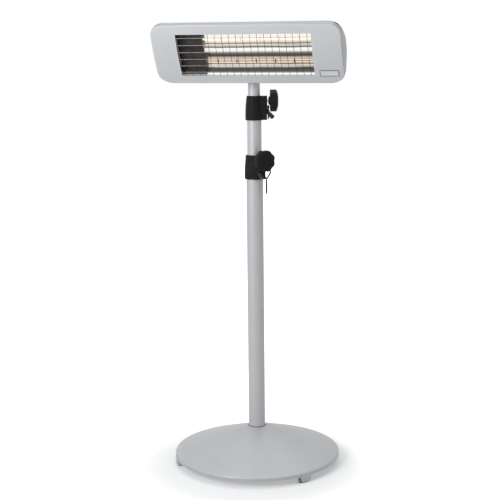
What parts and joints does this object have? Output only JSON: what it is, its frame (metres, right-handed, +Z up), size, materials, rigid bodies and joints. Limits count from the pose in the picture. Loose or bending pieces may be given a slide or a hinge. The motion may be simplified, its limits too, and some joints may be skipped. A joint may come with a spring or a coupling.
{
  "type": "infrared patio heater on a telescopic stand",
  "caption": "Free-standing infrared patio heater: a tilting twin-lamp head on a three-stage telescopic mast with clamp collars and a weighted round base.",
  "frame": {"origin": "floor level, on the mast's axis, in the middle of the round base", "axes": "+Z up along the mast, +X along the heater head to the right of someone who faces it, -Y the way the head heats"},
  "size_m": [0.554, 0.5027, 1.3228],
  "materials": {
    "silver_paint": "satin silver-grey powder coat",
    "face_paint": "satin silver-grey powder coat",
    "black_plastic": "fine moulded grain",
    "black_rubber": "matt",
    "zinc_steel": "bright zinc plate",
    "black_steel": "black-oxidised steel pin",
    "brass": "turned",
    "cast_iron": "as cast",
    "polished_aluminium": "polished reflector sheet",
    "quartz": "clear quartz tube",
    "ceramic": "glazed steatite",
    "nylon": "natural",
    "plate_silver": "blank satin plate"
  },
  "bodies": {
    "base": {"base_cover": "silver_paint", "base_plate": "zinc_steel", "ballast_ring": "cast_iron", "mast_socket": "zinc_steel", "socket_screw": "zinc_steel", "cover_grommet": "black_rubber", "foot_saddle_1": "silver_paint", "foot_saddle_2": "silver_paint", "foot_saddle_3": "silver_paint", "foot_glider_1": "black_rubber", "foot_glider_2": "black_rubber", "foot_glider_3": "black_rubber", "lower_tube": "silver_paint", "lower_collar": "black_plastic", "lower_clamp_insert": "brass", "lower_clamp_shoe": "nylon", "lower_catch_bush": "brass", "lower_catch_spring": "zinc_steel"},
    "lower_knob": {"lower_knob": "black_plastic", "lower_clamp_screw": "zinc_steel"},
    "lower_catch": {"lower_catch_rod": "zinc_steel", "lower_catch_grip": "black_plastic"},
    "lower_ring": {"lower_tether_ring": "black_plastic"},
    "lower_pin": {"lower_safety_pin": "black_steel"},
    "mid_guide": {"mid_guide": "nylon"},
    "mid_mast": {"mid_tube": "silver_paint", "upper_collar": "black_plastic", "upper_clamp_insert": "brass", "upper_clamp_shoe": "nylon", "upper_catch_bush": "brass", "upper_catch_spring": "zinc_steel"},
    "upper_knob": {"upper_knob": "black_plastic", "upper_clamp_screw": "zinc_steel"},
    "upper_catch": {"upper_catch_rod": "zinc_steel", "upper_catch_grip": "black_plastic"},
    "upper_ring": {"upper_tether_ring": "black_plastic"},
    "upper_pin": {"upper_safety_pin": "black_steel"},
    "top_guide": {"top_guide": "nylon"},
    "top_mast": {"top_tube": "silver_paint", "pole_adapter": "silver_paint", "adapter_screw": "zinc_steel", "tilt_bolt": "zinc_steel"},
    "tilt_knob": {"tilt_knob": "black_plastic"},
    "head": {"head_bracket": "zinc_steel", "bracket_screw_left": "zinc_steel", "bracket_screw_right": "zinc_steel", "bezel": "face_paint", "rear_shell": "silver_paint", "end_cap_left": "silver_paint", "end_cap_right": "silver_paint", "grille": "zinc_steel", "reflector": "polished_aluminium", "lamp_upper": "quartz", "lamp_lower": "quartz", "lamp_holder_left": "ceramic", "lamp_holder_right": "ceramic", "terminal_block": "ceramic", "cable_gland": "black_plastic", "nameplate": "plate_silver"}
  },
  "joints": [
    {"name": "lower_slide", "type": "slide", "parent": "base", "child": "mid_guide", "axis": [0, 0, 1], "range_m": [-0.08, 0.45]},
    {"name": "lower_swivel", "type": "hinge", "parent": "mid_guide", "child": "mid_mast", "pos_m": [0, 0, 1], "axis": [0, 0, 1], "continuous": true},
    {"name": "upper_slide", "type": "slide", "parent": "mid_mast", "child": "top_guide", "axis": [0, 0, 1], "range_m": [-0.01, 0.45]},
    {"name": "upper_swivel", "type": "hinge", "parent": "top_guide", "child": "top_mast", "pos_m": [0, 0, 1.2], "axis": [0, 0, 1], "continuous": true},
    {"name": "head_tilt", "type": "hinge", "parent": "top_mast", "child": "head", "pos_m": [0, -0.026, 1.27], "axis": [1, 0, 0], "range_deg": [-27.8, 8]},
    {"name": "tilt_knob_turn", "type": "hinge", "parent": "top_mast", "child": "tilt_knob", "pos_m": [0.025, -0.026, 1.27], "axis": [1, 0, 0], "range_deg": [0, 1080]},
    {"name": "lower_knob_turn", "type": "hinge", "parent": "base", "child": "lower_knob", "pos_m": [0.04316, -0.04168, 0.9225], "axis": [0.7193, -0.6947, 0], "range_deg": [0, 1080]},
    {"name": "lower_catch_pull", "type": "slide", "parent": "base", "child": "lower_catch", "axis": [0.5087, -0.4912, -0.7071], "range_m": [0, 0.0035], "stiffness_N_per_m": 800, "springref_m": -0.004, "deforming": ["lower_catch_spring"]},
    {"name": "lower_ring_swing", "type": "hinge", "parent": "base", "child": "lower_ring", "pos_m": [0.04077, -0.01824, 0.9027], "axis": [0.7193, -0.6947, 0], "range_deg": [-5, 60]},
    {"name": "lower_pin_swing", "type": "hinge", "parent": "lower_ring", "child": "lower_pin", "pos_m": [0.04077, -0.01824, 0.8691], "axis": [0.6947, 0.7193, 0], "range_deg": [-80, 15]},
    {"name": "upper_knob_turn", "type": "hinge", "parent": "mid_mast", "child": "upper_knob", "pos_m": [0.05768, 0.01654, 1.096], "axis": [0.9613, 0.2756, 0], "range_deg": [0, 1080]},
    {"name": "upper_catch_pull", "type": "slide", "parent": "mid_mast", "child": "upper_catch", "axis": [0.6797, 0.1949, -0.7071], "range_m": [0, 0.0035], "stiffness_N_per_m": 800, "springref_m": -0.004, "deforming": ["upper_catch_spring"]},
    {"name": "upper_ring_swing", "type": "hinge", "parent": "mid_mast", "child": "upper_ring", "pos_m": [0.03618, 0.02619, 1.0762], "axis": [0.9613, 0.2756, 0], "range_deg": [-5, 60]},
    {"name": "upper_pin_pull", "type": "slide", "parent": "mid_mast", "child": "upper_pin", "axis": [-0.2756, 0.9613, 0], "range_m": [0, 0.07]}
  ]
}
